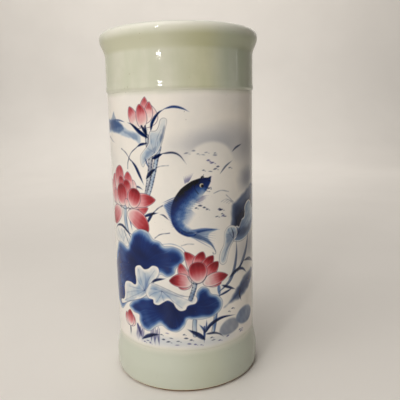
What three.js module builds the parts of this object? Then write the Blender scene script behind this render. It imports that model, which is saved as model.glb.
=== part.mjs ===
// Brush holder pot: a tall porcelain cylinder with a rolled lip, a floor and a turned foot ring.
// The clay members carry separate glaze coats: celadon over the lip and the top, a clear coat
// over the painted panel, celadon round the foot, and clear coats inside and under the floor.
// Units are millimetres. +Z is up, and the origin is the centre of the foot on the table.
import * as THREE from 'three';

// Heights above the table.
const HEIGHT = 357;
const LIP_WIDEST_Z = 351;
const NECK_Z = 333;
const UPPER_BORDER_Z = 297;
const LOWER_BORDER_Z = 44;
const FLARE_TOP_Z = 42;
const FLARE_FOOT_Z = 18;
const TOE_Z = 10.5;
const GLAZE_END_Z = 1.8;
const RECESS_Z = 6.5;
const FLOOR_THICKNESS = 9;
const LIP_GLAZE_END_Z = 344;

// Radii of the glazed surface and of the hollow.
const LIP_RADIUS = 81.3;
const BAND_RADIUS = 76.3;
const BEAD_RADIUS = 77.1;
const PANEL_RADIUS = 75.8;
const FOOT_RADIUS = 79.2;
const WELL_RADIUS = 68.8;
const RECESS_RADIUS = 70;

// Coats, joints and small curves.
const CELADON_THICKNESS = 1.1;
const CLEAR_THICKNESS = 0.6;
const JOINT_GAP = 0.1;
const BEAD_HEIGHT = 7;
const TOE_TUCK = 2.2;
const TOE_DROP = 10;
const WELL_FILLET = 5;
const FOOT_CHAMFER = 0.8;
const SEGMENTS = 48;

// Radii and heights that follow from the ones above.
const CELADON_DEPTH = CELADON_THICKNESS + JOINT_GAP;
const CLEAR_DEPTH = CLEAR_THICKNESS + JOINT_GAP;
const CLAY_RADIUS = PANEL_RADIUS - CLEAR_DEPTH;
const CLAY_FOOT_RADIUS = FOOT_RADIUS - CELADON_DEPTH;
const CLAY_WELL_RADIUS = WELL_RADIUS + CLEAR_DEPTH;
const FLOOR_TOP_Z = RECESS_Z + FLOOR_THICKNESS;
const FILLET_CENTRE_RADIUS = WELL_RADIUS - WELL_FILLET;
const FILLET_CENTRE_Z = FLOOR_TOP_Z + CLEAR_DEPTH + WELL_FILLET;
const LIP_CENTRE_RADIUS = (LIP_RADIUS + WELL_RADIUS) / 2;
const LIP_HALF_WIDTH = (LIP_RADIUS - WELL_RADIUS) / 2;
const LIP_RISE = HEIGHT - LIP_WIDEST_Z;

const at = (radius, height) => new THREE.Vector2(radius, height);

// A smooth S-shaped change of radius between two heights.
function ease(fromRadius, fromZ, toRadius, toZ, steps) {
  return Array.from({ length: steps + 1 }, (_, i) => {
    const share = i / steps;
    const blend = (1 - Math.cos(Math.PI * share)) / 2;
    return at(fromRadius + (toRadius - fromRadius) * blend, fromZ + (toZ - fromZ) * share);
  });
}

// An arc of an ellipse, with its angles in degrees from the outward direction towards +Z.
function arc(centreRadius, centreZ, halfWidth, halfHeight, fromAngle, toAngle, steps) {
  return Array.from({ length: steps + 1 }, (_, i) => {
    const angle = THREE.MathUtils.degToRad(fromAngle + (toAngle - fromAngle) * (i / steps));
    return at(centreRadius + halfWidth * Math.cos(angle), centreZ + halfHeight * Math.sin(angle));
  });
}

// Radius of the toe, where the foot tucks in towards the table, at one height.
function toeRadius(footRadius, z) {
  const drop = Math.max(0, TOE_Z - z) / TOE_DROP;
  return footRadius - TOE_TUCK * (1 - Math.sqrt(1 - drop * drop));
}

// The toe's outline from one height down or up to another.
function toe(footRadius, fromZ, toZ, steps) {
  return Array.from({ length: steps + 1 }, (_, i) => {
    const z = fromZ + (toZ - fromZ) * (i / steps);
    return at(toeRadius(footRadius, z), z);
  });
}

// The lip's surface at a depth below the glaze, from the neck over the crest to the inside.
function lipSurface(depth, innerDepth) {
  const underside = ease(BAND_RADIUS - depth, NECK_Z, LIP_RADIUS - depth, LIP_WIDEST_Z, 6);
  const centreRadius = LIP_CENTRE_RADIUS + (innerDepth - depth) / 2;
  const halfWidth = LIP_HALF_WIDTH - (innerDepth + depth) / 2;
  const roll = arc(centreRadius, LIP_WIDEST_Z, halfWidth, LIP_RISE - depth, 0, 180, 8);
  return [...underside, ...roll.slice(1)];
}

// A solid of revolution about Z. The outline runs anticlockwise in the radius-height plane.
function turned(name, outline, colour, roughness) {
  const closed = outline[0].x === 0 ? outline : [...outline, outline[0]];
  const geometry = new THREE.LatheGeometry(closed, SEGMENTS);
  geometry.rotateX(Math.PI / 2);
  const material = new THREE.MeshStandardMaterial({ color: colour, roughness, metalness: 0 });
  const mesh = new THREE.Mesh(geometry, material);
  mesh.name = name;
  return mesh;
}

function footRing() {
  const contactRadius = toeRadius(CLAY_FOOT_RADIUS, FOOT_CHAMFER) - FOOT_CHAMFER;
  const outer = toe(CLAY_FOOT_RADIUS, FOOT_CHAMFER, RECESS_Z - JOINT_GAP, 4);
  const outline = [
    at(RECESS_RADIUS + FOOT_CHAMFER, 0),
    at(contactRadius, 0),
    ...outer,
    at(RECESS_RADIUS, RECESS_Z - JOINT_GAP),
    at(RECESS_RADIUS, FOOT_CHAMFER),
  ];
  return turned('foot_ring', outline, 0xd9cdb8, 0.85);
}

function floorSlab() {
  const outline = [
    at(0, RECESS_Z),
    ...toe(CLAY_FOOT_RADIUS, RECESS_Z, TOE_Z, 2),
    at(CLAY_FOOT_RADIUS, FLOOR_TOP_Z),
    at(0, FLOOR_TOP_Z),
  ];
  return turned('floor_slab', outline, 0xe4dccb, 0.8);
}

function wall() {
  const bottomZ = FLOOR_TOP_Z + JOINT_GAP;
  const filletRadius = WELL_FILLET + CLEAR_DEPTH;
  const fillet = arc(FILLET_CENTRE_RADIUS, FILLET_CENTRE_Z, filletRadius, filletRadius, 0, -72, 4);
  const outline = [
    at(CLAY_FOOT_RADIUS, bottomZ),
    ...ease(CLAY_FOOT_RADIUS, FLARE_FOOT_Z, CLAY_RADIUS, FLARE_TOP_Z, 6),
    at(CLAY_RADIUS, NECK_Z - JOINT_GAP),
    at(CLAY_WELL_RADIUS, NECK_Z - JOINT_GAP),
    ...fillet,
    at(fillet.at(-1).x, bottomZ),
  ];
  return turned('wall', outline, 0xe9e2d2, 0.75);
}

function rolledLip() {
  const outline = [
    ...lipSurface(CELADON_DEPTH, CELADON_DEPTH),
    at(WELL_RADIUS + CELADON_DEPTH, LIP_GLAZE_END_Z),
    at(CLAY_WELL_RADIUS, NECK_Z + CELADON_DEPTH),
    at(CLAY_WELL_RADIUS, NECK_Z),
  ];
  return turned('rolled_lip', outline, 0xe9e2d2, 0.75);
}

function upperCeladonCoat() {
  const bottomZ = UPPER_BORDER_Z + JOINT_GAP;
  const beadZ = UPPER_BORDER_Z + BEAD_HEIGHT / 2;
  const bandZ = UPPER_BORDER_Z + BEAD_HEIGHT;
  const outer = [
    ...ease(PANEL_RADIUS, bottomZ, BEAD_RADIUS, beadZ, 3),
    ...ease(BEAD_RADIUS, beadZ, BAND_RADIUS, bandZ, 3).slice(1),
    ...lipSurface(0, 0),
    at(WELL_RADIUS, LIP_GLAZE_END_Z + JOINT_GAP),
  ];
  const inner = [
    at(CLAY_RADIUS + JOINT_GAP, bottomZ),
    ...lipSurface(CELADON_THICKNESS, CELADON_THICKNESS),
    at(WELL_RADIUS + CELADON_THICKNESS, LIP_GLAZE_END_Z + JOINT_GAP),
  ];
  return turned('upper_celadon_coat', [...outer, ...inner.reverse()], 0xc9c9ae, 0.12);
}

function paintedPanelCoat() {
  const outline = [
    at(CLAY_RADIUS + JOINT_GAP, LOWER_BORDER_Z),
    at(PANEL_RADIUS, LOWER_BORDER_Z),
    at(PANEL_RADIUS, UPPER_BORDER_Z),
    at(CLAY_RADIUS + JOINT_GAP, UPPER_BORDER_Z),
  ];
  return turned('painted_panel_coat', outline, 0xe6ddd0, 0.1);
}

function lowerCeladonCoat() {
  const topZ = LOWER_BORDER_Z - JOINT_GAP;
  const innerFootRadius = CLAY_FOOT_RADIUS + JOINT_GAP;
  const outer = [
    ...toe(FOOT_RADIUS, GLAZE_END_Z, TOE_Z, 4),
    ...ease(FOOT_RADIUS, FLARE_FOOT_Z, PANEL_RADIUS, FLARE_TOP_Z, 6),
    at(PANEL_RADIUS, topZ),
  ];
  const inner = [
    ...toe(innerFootRadius, GLAZE_END_Z, TOE_Z, 4),
    ...ease(innerFootRadius, FLARE_FOOT_Z, CLAY_RADIUS + JOINT_GAP, FLARE_TOP_Z, 6),
    at(CLAY_RADIUS + JOINT_GAP, topZ),
  ];
  return turned('lower_celadon_coat', [...outer, ...inner.reverse()], 0xc6c6ab, 0.12);
}

function innerGlazeCoat() {
  const topZ = LIP_GLAZE_END_Z;
  const fillet = (radius, fromAngle, toAngle) =>
    arc(FILLET_CENTRE_RADIUS, FILLET_CENTRE_Z, radius, radius, fromAngle, toAngle, 5);
  const outline = [
    at(0, FLOOR_TOP_Z + JOINT_GAP),
    ...fillet(WELL_FILLET + CLEAR_THICKNESS, -90, 0),
    at(WELL_RADIUS + CLEAR_THICKNESS, NECK_Z + CELADON_DEPTH),
    at(WELL_RADIUS + CLEAR_THICKNESS, topZ - CELADON_DEPTH),
    at(WELL_RADIUS, topZ),
    ...fillet(WELL_FILLET, 0, -90),
    at(0, FLOOR_TOP_Z + CLEAR_DEPTH),
  ];
  return turned('inner_glaze_coat', outline, 0xe9e5da, 0.12);
}

function baseGlazeCoat() {
  const radius = RECESS_RADIUS - JOINT_GAP;
  const topZ = RECESS_Z - JOINT_GAP;
  const outline = [
    at(0, topZ - CLEAR_THICKNESS),
    at(radius, topZ - CLEAR_THICKNESS),
    at(radius, topZ),
    at(0, topZ),
  ];
  return turned('base_glaze_coat', outline, 0xe3dfd2, 0.2);
}

const pot = new THREE.Group();
pot.name = 'brush_holder_pot';
pot.add(
  footRing(),
  floorSlab(),
  wall(),
  rolledLip(),
  upperCeladonCoat(),
  paintedPanelCoat(),
  lowerCeladonCoat(),
  innerGlazeCoat(),
  baseGlazeCoat(),
);

export default pot;
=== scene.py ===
"""Looks of the brush holder pot: fine turned surfaces, a hand-painted panel and glazes.

The painted panel is drawn flat in millimetres and then wrapped round the pot: u runs to the
right from the middle of the front, and v is the height above the table.
"""

import math

import bpy
import numpy as np
from mathutils import Matrix, Vector


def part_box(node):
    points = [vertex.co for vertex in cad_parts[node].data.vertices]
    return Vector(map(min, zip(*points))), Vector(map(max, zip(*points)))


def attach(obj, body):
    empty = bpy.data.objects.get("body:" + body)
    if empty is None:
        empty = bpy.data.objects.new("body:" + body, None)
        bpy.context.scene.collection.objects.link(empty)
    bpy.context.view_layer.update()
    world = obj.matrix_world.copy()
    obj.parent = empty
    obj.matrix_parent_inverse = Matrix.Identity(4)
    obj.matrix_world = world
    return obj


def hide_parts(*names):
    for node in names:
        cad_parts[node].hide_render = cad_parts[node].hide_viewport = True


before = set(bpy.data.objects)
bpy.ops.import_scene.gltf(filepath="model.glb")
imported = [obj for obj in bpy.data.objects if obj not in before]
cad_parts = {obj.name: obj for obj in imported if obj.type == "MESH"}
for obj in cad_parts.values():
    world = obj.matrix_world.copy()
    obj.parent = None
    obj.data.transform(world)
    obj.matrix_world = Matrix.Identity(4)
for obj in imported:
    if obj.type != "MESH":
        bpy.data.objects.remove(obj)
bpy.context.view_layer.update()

MM = 0.001
SEGMENTS = 256

# ---------------------------------------------------------------- painting: colours as 0 to 1 sRGB
GROUND = (0.945, 0.92, 0.885)
INK = (0.07, 0.12, 0.26)
NAVY = (0.015, 0.095, 0.285)
COBALT = (0.05, 0.165, 0.41)
BLUE = (0.27, 0.40, 0.61)
PALE = (0.62, 0.69, 0.77)
SLATE = (0.42, 0.50, 0.62)
WATER = (0.80, 0.815, 0.82)
GREY = (0.56, 0.57, 0.62)
VIOLET = (0.31, 0.31, 0.51)
RED_DEEP = (0.46, 0.05, 0.10)
RED = (0.66, 0.195, 0.225)
PINK = (0.85, 0.57, 0.58)
GOLD = (0.86, 0.81, 0.68)
BLACK = (0.02, 0.03, 0.07)
WINE = (0.30, 0.19, 0.31)
DUSK = (0.36, 0.41, 0.52)
CELADON_EDGE = (0.875, 0.865, 0.805)


def smooth(points, closed=False):
    """A Catmull-Rom curve through the given points."""
    steps = 8
    given = np.asarray(points, float)
    if closed:
        knots = np.vstack([given[-1:], given, given[:2]])
    else:
        knots = np.vstack([2 * given[0] - given[1], given, 2 * given[-1] - given[-2]])
    t = (np.arange(steps) / steps)[:, None]
    runs = []
    for a, b, c, d in zip(knots, knots[1:], knots[2:], knots[3:]):
        bend = (2 * a - 5 * b + 4 * c - d) * t**2 + (3 * b - a - 3 * c + d) * t**3
        runs.append(0.5 * (2 * b + (c - a) * t + bend))
    runs.append(given[:1] if closed else given[-1:])
    return np.vstack(runs)


def ramp(value, low, high):
    """0 below low, 1 above high, and a smooth S between them."""
    t = np.clip((value - low) / (high - low), 0, 1)
    return t * t * (3 - 2 * t)


def lumps(u, v, size, seed=0.0):
    """Slow unevenness between about -1 and 1, from waves that run in many directions."""
    total = np.zeros(u.shape)
    for k in range(7):
        angle = 2.4 * k + seed
        wave = 2 * math.pi / (size * (0.55 + 0.22 * k))
        total += np.sin(wave * (u * math.cos(angle) + v * math.sin(angle)) + 1.7 * k + 5 * seed)
    return total / 3.5


def inside(outline, u, v):
    """True where a point is inside a closed outline."""
    odd = np.zeros(u.shape, bool)
    for (au, av), (bu, bv) in zip(outline, outline[1:]):
        if av == bv:
            continue
        crosses = (av > v) != (bv > v)
        odd ^= crosses & (u < au + (v - av) * (bu - au) / (bv - av))
    return odd


class Canvas:
    """The panel's colour on a grid that wraps round the pot."""

    def __init__(self, radius, low, high, cell):
        self.around = 2 * math.pi * radius
        self.columns = round(self.around / cell)
        self.rows = round((high - low) / cell) + 1
        self.low = low
        self.step_u = self.around / self.columns
        self.step_v = (high - low) / (self.rows - 1)
        self.colour = np.tile(np.array(GROUND), (self.rows, self.columns, 1))
        self.move()

    def move(self, u=0.0, v=0.0, mirror=1.0, scale=1.0):
        """Moves the motifs painted next, about the point at the front on the table."""
        self.shift = (u, v)
        self.mirror = mirror
        self.scale = scale

    def place(self, points):
        """Where a motif's own points lie on the panel."""
        points = np.asarray(points, float) * self.scale
        return points * (self.mirror, 1.0) + self.shift

    def window(self, points, margin):
        """The part of the grid near some points: its index, and u and v of each cell."""
        low_u, low_v = points.min(axis=0) - margin
        high_u, high_v = points.max(axis=0) + margin
        columns = np.arange(math.floor(low_u / self.step_u), math.ceil(high_u / self.step_u) + 1)
        first = max(0, math.floor((low_v - self.low) / self.step_v))
        last = min(self.rows - 1, math.ceil((high_v - self.low) / self.step_v))
        rows = np.arange(first, max(first, last) + 1)
        u, v = np.meshgrid(columns * self.step_u, self.low + rows * self.step_v)
        return np.ix_(rows, columns % self.columns), u, v

    def near(self, path, u, v, reach):
        """Signed distance to a path, plus on its left, and the share of the way along it."""
        steps = np.diff(path, axis=0)
        lengths = np.hypot(steps[:, 0], steps[:, 1])
        travelled = np.concatenate([[0], np.cumsum(lengths)])
        best = np.full(u.shape, float(reach))
        along = np.zeros(u.shape)
        side = np.ones(u.shape)
        for start, step, length, before in zip(path, steps, lengths, travelled):
            if length < 1e-9:
                continue
            low = np.minimum(start, start + step) - reach
            high = np.maximum(start, start + step) + reach
            i0, i1 = np.searchsorted(v[:, 0], (low[1], high[1]))
            j0, j1 = np.searchsorted(u[0], (low[0], high[0]))
            du = u[i0:i1, j0:j1] - start[0]
            dv = v[i0:i1, j0:j1] - start[1]
            share = np.clip((du * step[0] + dv * step[1]) / length**2, 0, 1)
            gap = np.hypot(du - share * step[0], dv - share * step[1])
            closer = gap < best[i0:i1, j0:j1]
            best[i0:i1, j0:j1][closer] = gap[closer]
            along[i0:i1, j0:j1][closer] = ((before + share * length) / travelled[-1])[closer]
            left = np.where(step[0] * dv - step[1] * du >= 0, 1.0, -1.0)
            side[i0:i1, j0:j1][closer] = left[closer]
        return best * side * self.mirror, along

    def trace(self, points, margin, closed=False):
        """A smooth path near which to paint: index of its cells, distance to it and share along it."""
        path = smooth(self.place(points), closed)
        index, u, v = self.window(path, margin)
        return (path, index) + self.near(path, u, v, margin)

    def oval(self, centre, half_u, half_v, margin=0.0):
        """An oval's cells: index, u and v, its size, and each cell's place in half widths and heights."""
        middle = self.place([centre])[0]
        size = np.array([half_u, half_v]) * self.scale
        index, u, v = self.window(np.array([middle - size, middle + size]), margin)
        return index, u, v, size, (u - middle[0]) / size[0], (v - middle[1]) / size[1]

    def shape(self, points, reach):
        """A closed shape's cells: index, u, v and the depth inside its outline."""
        path = smooth(self.place(points), closed=True)
        index, u, v = self.window(path, 2)
        gap, _ = self.near(path, u, v, reach)
        return index, u, v, np.where(inside(path, u, v), abs(gap), -abs(gap))

    def cover(self, index, colour, amount):
        """Opaque paint."""
        self.colour[index] += (np.array(colour) - self.colour[index]) * amount[..., None]

    def shade(self, index, share, colours, mask):
        """Opaque paint that runs through several colours as share goes from 0 to 1."""
        stops = np.linspace(0, 1, len(colours))
        tone = np.stack([np.interp(share, stops, band) for band in zip(*colours)], axis=-1)
        self.colour[index] += (tone - self.colour[index]) * mask[..., None]

    def stain(self, index, colour, amount):
        """Clear paint, which darkens what it lies on."""
        filtered = np.array(colour) / np.array(GROUND)
        self.colour[index] *= 1 - amount[..., None] * (1 - filtered)


# ---------------------------------------------------------------- painting: brushes
def line(c, points, width=0.5, colour=INK, strength=0.75, closed=False):
    """A fine outline whose pressure varies a little."""
    path, index, gap, along = c.trace(points, width + 1, closed)
    pressure = 0.8 + 0.2 * np.sin(along * 13 + path[0, 0])
    c.stain(index, colour, strength * pressure * ramp(width / 2 - abs(gap), -0.45, 0.35))


def stroke(c, points, width, colour=INK, strength=0.9, belly=0.45, tail=0.0):
    """One pressed and lifted brush stroke: pointed at its end, widest at belly."""
    _, index, gap, along = c.trace(points, width + 1)
    bend = math.log(0.5) / math.log(belly)
    half = width / 2 * c.scale * np.maximum(np.sin(math.pi * along**bend), tail * (1 - along))
    amount = ramp(half - abs(gap), -0.4, 0.5)
    edge = 1 - 0.3 * ramp(gap / np.maximum(half, 0.1), 0.1, 0.9)
    fade = 1 - 0.45 * ramp(along, 0.7, 1.0)
    c.stain(index, colour, strength * amount * edge * fade)


def mist(c, points, colour, strength, depth):
    """A soft pale wash with no outline."""
    index, u, v, deep = c.shape(points, depth)
    wet = deep + 0.18 * depth * lumps(u, v, 3 * depth, strength)
    c.stain(index, colour, strength * ramp(wet, 0, depth))


def haze(c, centre, half_u, half_v, colour, strength):
    """A wide wash that fades out in every direction."""
    index, u, v, _, x, y = c.oval(centre, half_u, half_v)
    away = (x**2 + y**2) * (1 + 0.1 * lumps(u, v, half_u * 0.7, 1.3))
    c.stain(index, colour, strength * np.clip(1 - away, 0, 1) ** 1.5)


def blank(c, centre, half_u, half_v, blur):
    """An oval that is wiped clean, such as the bright water round a fish."""
    index, _, _, size, x, y = c.oval(centre, half_u, half_v, blur + 1)
    c.cover(index, GROUND, 0.9 * ramp((1 - np.hypot(x, y)) * size.min(), -blur, blur))


def rock(c, points, colours):
    """A rounded wet stone: one pooled wash, darker at its foot."""
    reach, soft = 9, 2.4
    index, u, v, deep = c.shape(points, reach)
    low, high = v.min(), v.max()
    share = 0.75 - 0.35 * (v - low) / (high - low) + 0.22 * lumps(u, v, 11, colours[0][0])
    c.shade(index, share, colours, 0.85 * ramp(deep, -0.6, soft))


def petal_outline(base, tip, half_width, bend, point):
    """A petal's outline from its base round the tip and back, and its widest place on the way."""
    base, tip = np.array(base, float), np.array(tip, float)
    across = np.array([base[1] - tip[1], tip[0] - base[0]])
    share = (1 - np.cos(math.pi * np.linspace(0, 1, 9))) / 2
    spine = base + np.outer(share, tip - base) + np.outer(4 * share * (1 - share), across * bend)
    widest = 0.55 / (0.55 + point)
    half = half_width * share**0.55 * (1 - share) ** point / (widest**0.55 * (1 - widest) ** point)
    offset = np.outer(half, across / np.hypot(*across))
    return np.vstack([spine + offset, (spine - offset)[-2:0:-1]])


def petal(c, base, tip, half_width, bend=0.0, tone=1.0, pale=0.1, point=0.5):
    """One lotus petal: red at the tip, white at the base and along its lower edges, thinly outlined."""
    outline = petal_outline(base, tip, half_width, bend, point)
    reach = half_width * c.scale
    index, u, v, deep = c.shape(outline, reach + 1)
    (base_u, base_v), (tip_u, tip_v) = c.place([base, tip])
    run_u, run_v = tip_u - base_u, tip_v - base_v
    length = math.hypot(run_u, run_v)
    along = np.clip(((u - base_u) * run_u + (v - base_v) * run_v) / length**2, 0, 1)
    aside = ((u - base_u) * run_v - (v - base_v) * run_u) / length
    rim = ramp(deep, 0.1, 0.34 * reach * (1 - along) + 0.9)
    grain = 0.965 + 0.035 * np.sin(aside / reach * 15 * (1.2 - 0.5 * along))
    red = np.interp(along, (0, pale, pale + 0.3, 0.72, 0.9, 1), (0.05, 0.11, 0.41, 0.76, 0.98, 0.9))
    red = red * (0.4 + 0.6 * rim) * grain * tone + 0.05 * lumps(u, v, reach * 1.5, half_width) * rim
    c.shade(index, red, (GROUND, PINK, RED, RED_DEEP), ramp(deep, -0.35, 0.35))
    c.stain(index, WINE, 0.6 * ramp(0.25 - abs(deep - 0.05), -0.4, 0.3))


def stem(c, points, width, colour=PALE, thorns=True):
    """A lotus stem: pale blue, darker on one side, with thorns along both edges."""
    half = width / 2 * c.scale
    path, index, gap, along = c.trace(points, half + 2)
    body = ramp(half - abs(gap), -0.4, 0.4)
    total = np.hypot(*np.diff(path, axis=0).T).sum()
    share = 0.35 + 0.35 * gap / half + 0.2 * np.sin(along * total * 0.31 + path[0, 0])
    c.shade(index, share, (WATER, colour, SLATE), body * 0.95)
    c.stain(index, INK, 0.45 * ramp(0.3 - abs(half - abs(gap)), -0.45, 0.3))
    if thorns:
        beat = np.sin(along * total * 1.9 + 2.5 * np.sign(gap) + 0.9 * np.sin(along * total * 0.7))
        band = ramp(0.9 - abs(half * 0.8 - abs(gap)), -0.2, 0.7) * ramp(0.5 - abs(along - 0.5), 0.0, 0.05)
        c.stain(index, INK, 0.55 * ramp(beat, 0.1, 0.9) * band)


def veins(c, hub, ends, width, colour, strength):
    """Leaf veins that leave one hub and bend a little on their way."""
    for k, end in enumerate(ends):
        lean = 1.2 if k % 2 else -1.2
        middle = ((hub[0] + end[0]) / 2 + lean, (hub[1] + end[1]) / 2 + 0.6)
        line(c, [hub, middle, end], width, colour, strength)


def dark_leaf(c, points, hub, margin, deepest):
    """A wet blue leaf: blank along its outline, then pale, then deep, brushed and pooled at its hub."""
    index, u, v, deep = c.shape(points, deepest + 3)
    hub_u, hub_v = c.place([hub])[0]
    angle = np.arctan2(v - hub_v, u - hub_u)
    away = np.hypot(v - hub_v, u - hub_u)
    cloud = lumps(u, v, 24, hub[0])
    wet = deep + 0.9 * cloud + 0.35 * np.sin(angle * 17)
    brushed = np.sin(angle * 37 + 2.5 * np.sin(angle * 7)) * ramp(away, 3, 14)
    share = 0.32 * ramp(wet, -0.2, margin) + 0.25 * ramp(wet, 0.5, margin * 2.8)
    pooled = 0.02 * brushed + 0.09 * cloud + 0.2 * ramp(-away, -34, -4)
    share = share + 0.17 * ramp(wet, margin, deepest) + ramp(deep, margin, margin * 2) * pooled
    ribs = ramp(np.cos(angle * 13 + 0.5 * np.sin(away * 0.25)), 0.97, 1.0)
    share = share - 0.08 * ribs * ramp(away, 4, 11) * ramp(deep, 1, 6)
    c.shade(index, share, (WATER, PALE, BLUE, COBALT, NAVY), ramp(deep, -0.5, 0.8))
    line(c, points, 0.4, COBALT, 0.5, closed=True)


def pale_leaf(c, points, hub, ends, strength=0.6, depth=10.0, rim=4.5, wash=0.2):
    """A leaf seen from its pale side: pale lobes, blue towards the hub, fine veins."""
    index, u, v, deep = c.shape(points, 12)
    hub_u, hub_v = c.place([hub])[0]
    away = np.hypot(u - hub_u, v - hub_v) / c.scale
    angle = np.arctan2(v - hub_v, u - hub_u)
    near_hub = ramp(-away, -depth * 2.2, 0)
    folds = 0.5 + 0.5 * np.sin(angle * 9 + hub[0])
    share = ramp(deep, rim * 0.1, rim) * (wash + 0.5 * near_hub + 0.2 * folds * ramp(away, 2, 8))
    share = strength * share + 0.09 * lumps(u, v, 9, hub[1]) * ramp(deep, 0.5, 3)
    c.shade(index, share, (GROUND, WATER, PALE, SLATE), ramp(deep, -0.35, 0.35))
    veins(c, hub, ends, 0.4, COBALT, 0.36)
    line(c, points, 0.4, INK, 0.5, closed=True)


def duckweed(c, spots, colour=INK, strength=0.8):
    """Floating leaves: flat touches of the brush, some with a smaller one beside them."""
    for k, (u, v) in enumerate(spots):
        length = 4.2 + 1.2 * math.sin(k * 2.3)
        slope = 0.16 * math.sin(k * 1.7)
        touches = [(u, v, length, 1.35 + 0.4 * math.cos(k), strength, slope)]
        if k % 3:
            touches.append((u + length * 0.6, v - 0.9, length * 0.5, 0.9, strength * 0.6, -slope))
        for x, y, long, thick, dark, lean in touches:
            half = long / 2
            path = [(x - half, y - lean * half), (x, y + thick * 0.15), (x + half, y + lean * half)]
            stroke(c, path, thick, colour, dark, 0.5)


def fan(c, root_a, root_b, tip_a, tip_b, count, width=0.5, colour=COBALT, strength=0.5):
    """Fin rays from the root line to the tip line."""
    root_a, root_b, tip_a, tip_b = map(np.array, (root_a, root_b, tip_a, tip_b))
    for k in range(count):
        share = k / (count - 1)
        start = root_a + (root_b - root_a) * share
        end = tip_a + (tip_b - tip_a) * share
        middle = (start + end) / 2 + np.array([0.0, 0.6]) * math.sin(share * math.pi)
        stroke(c, [start, middle, end], width * 2, colour, strength, 0.3, 0.6)


def fish_fins(c):
    """The carp's fins and tail, under its body."""
    mist(c, [(-4, 201), (-11, 197), (-19.5, 192), (-17.5, 186), (-14, 178), (-11, 171), (-6, 170),
            (-4, 186)], BLUE, 0.75, 2.2)
    fan(c, (-8, 199), (-7, 171), (-20.5, 193.5), (-12, 170.5), 17, 0.55, COBALT, 0.6)
    mist(c, [(-6, 197), (-12, 192), (-13, 182), (-9, 173), (-5, 176)], COBALT, 0.6, 2.5)
    mist(c, [(0, 168), (10, 168), (22, 167.5), (37, 166), (26, 162), (24, 158), (29, 151), (31, 142),
            (26, 149), (17, 156), (6, 159)], PALE, 0.9, 1.8)
    stroke(c, [(-1, 165), (8, 165), (20, 166.5), (36, 165)], 4.6, BLUE, 0.9, 0.3, 0.9)
    stroke(c, [(2, 164), (14, 160), (24, 154), (29.5, 147), (31, 141)], 4.4, SLATE, 0.8, 0.3, 0.9)
    fan(c, (8, 165), (6, 161), (33, 167), (29, 146), 9, 0.5, COBALT, 0.4)
    line(c, [(27, 150), (30.5, 145), (31, 141.5), (28.5, 141.5), (28, 143)], 0.6, INK, 0.55)
    mist(c, [(9, 197), (15, 199), (22, 198), (19, 194), (12, 193)], VIOLET, 0.25, 2)
    fan(c, (11, 199), (9, 195), (25, 199.5), (18, 191.5), 7, 0.45, VIOLET, 0.7)
    fan(c, (5.5, 213.5), (2, 212), (10, 221.5), (1, 218.5), 7, 0.4, VIOLET, 0.75)
    fan(c, (3, 190), (0, 176), (12, 182), (5, 172), 13, 0.5, BLUE, 0.5)


def fish(c):
    """A carp that turns upwards: black back on its left, blue flank, feathered belly."""
    fish_fins(c)
    spine = [(27, 216.5), (24.5, 214), (20, 211), (13, 206.5), (5, 200), (-1, 192), (-4, 184), (-5, 176),
            (-2, 169), (4, 164.5), (9, 163.5)]
    path = smooth(c.place(spine))
    index, u, v = c.window(path, 14 * c.scale)
    gap, along = c.near(path, u, v, 14 * c.scale)
    stops = (0, 0.05, 0.12, 0.23, 0.37, 0.5, 0.62, 0.74, 0.85, 0.94, 1)
    half = np.interp(along, stops, (0.6, 3.4, 6.4, 8.8, 9.8, 9.4, 8.0, 6.4, 4.9, 3.8, 2.6)) * c.scale
    back = -gap / half
    feather = np.sin(along * 150 + gap) * ramp(along, 0.22, 0.32) * ramp(-along, -0.8, -0.62)
    soft = np.where(back < 0, 0.6 + 1.5 * ramp(along, 0.2, 0.4), 0.5)
    depth = half - abs(gap) + np.where(back < 0, 0.8 * feather, 0)
    body = ramp(depth, -soft, soft) * (half > 0)
    share = 0.1 + 0.4 * ramp(back, -0.95, 0.4) + 0.52 * ramp(back, -0.1, 0.8)
    rear = ramp(along, 0.36, 0.7)
    share = share - 0.53 * rear * ramp(back, -0.6, 0.8) + 0.05 * lumps(u, v, 9, 2.0)
    scales = np.sin(along * 120 + 2.4 * np.cos(back * 9)) * np.cos(back * 14)
    share = share + 0.06 * ramp(scales, 0.0, 0.9) * ramp(along, 0.24, 0.34)
    head = ramp(-along, -0.2, -0.1)
    share = share * (1 - head) + head * (0.62 + 0.2 * back)
    c.shade(index, share, (WATER, BLUE, COBALT, NAVY, BLACK), body)
    line(c, [(15, 215), (11.5, 211), (11.5, 206), (14.5, 201.5)], 0.7, BLACK, 0.6)
    for centre, radius, colour in (((17.8, 209.4), 2.0, GOLD), ((18.5, 208.9), 1.5, BLACK)):
        index, _, _, size, x, y = c.oval(centre, radius, radius, 1)
        c.cover(index, colour, ramp((1 - np.hypot(x, y)) * size[0], -0.3, 0.4))
    stroke(c, [(16.8, 216), (18.8, 217.6), (21, 216.4)], 1.8, BLACK, 0.9)
    line(c, [(19, 217), (20, 219.5)], 0.5, INK, 0.6)
    stroke(c, [(-5, 170), (2, 165), (12, 164)], 2.6, NAVY, 0.45, 0.6)
    stroke(c, [(24, 215.5), (26.5, 217), (28.5, 217.5)], 1.3, NAVY, 0.8)
    stroke(c, [(24, 213.5), (26, 213.5), (27.5, 212)], 1.2, NAVY, 0.8)
    line(c, [(22, 208), (25, 206.5), (27, 207), (27.5, 205)], 0.6, INK, 0.6)
    line(c, [(21, 205.5), (23.5, 203.5), (26, 203)], 0.6, INK, 0.5)


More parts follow.
